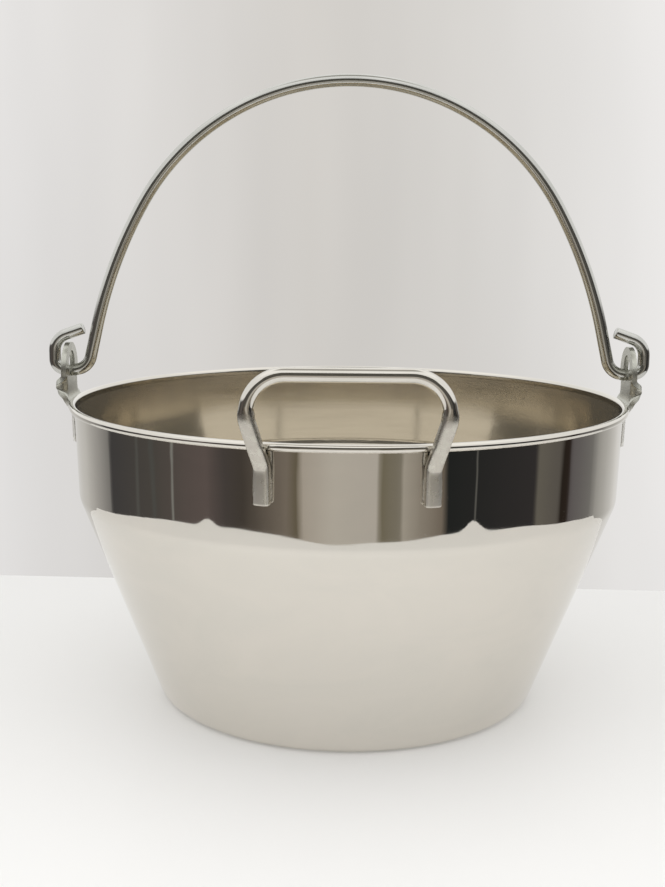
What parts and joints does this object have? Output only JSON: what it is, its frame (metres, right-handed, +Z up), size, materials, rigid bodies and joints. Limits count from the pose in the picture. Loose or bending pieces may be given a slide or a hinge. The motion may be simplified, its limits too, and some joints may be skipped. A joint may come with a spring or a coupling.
{
  "type": "milk pail",
  "caption": "Polished steel pail with a rolled rim, a straight band over a tapered body, a swinging wire bail hooked into stamped ears, and a rigid front grip.",
  "frame": {"origin": "centre of the base, on the surface that the pail stands on", "axes": "+Z up out of the mouth; +X along the bail's pivot axis, towards the right ear; -Y towards the front grip"},
  "size_m": [0.3424, 0.3201, 0.3489],
  "materials": {
    "pail_steel": "mirror polished outside, satin brushed inside",
    "ear_steel": "tumbled, semi-bright",
    "grip_steel": "polished wire",
    "bail_steel": "drawn and polished wire",
    "weld_steel": "cleaned weld metal"
  },
  "bodies": {
    "pail": {"pail_body": "pail_steel", "left_ear": "ear_steel", "right_ear": "ear_steel", "left_ear_weld": "weld_steel", "right_ear_weld": "weld_steel", "grip_handle": "grip_steel", "left_grip_weld": "weld_steel", "right_grip_weld": "weld_steel"},
    "bail": {"bail": "bail_steel"}
  },
  "joints": [
    {"name": "bail_swing", "type": "hinge", "parent": "pail", "child": "bail", "pos_m": [0, 0, 0.1844], "axis": [1, 0, 0], "range_deg": [-94, 80]}
  ]
}
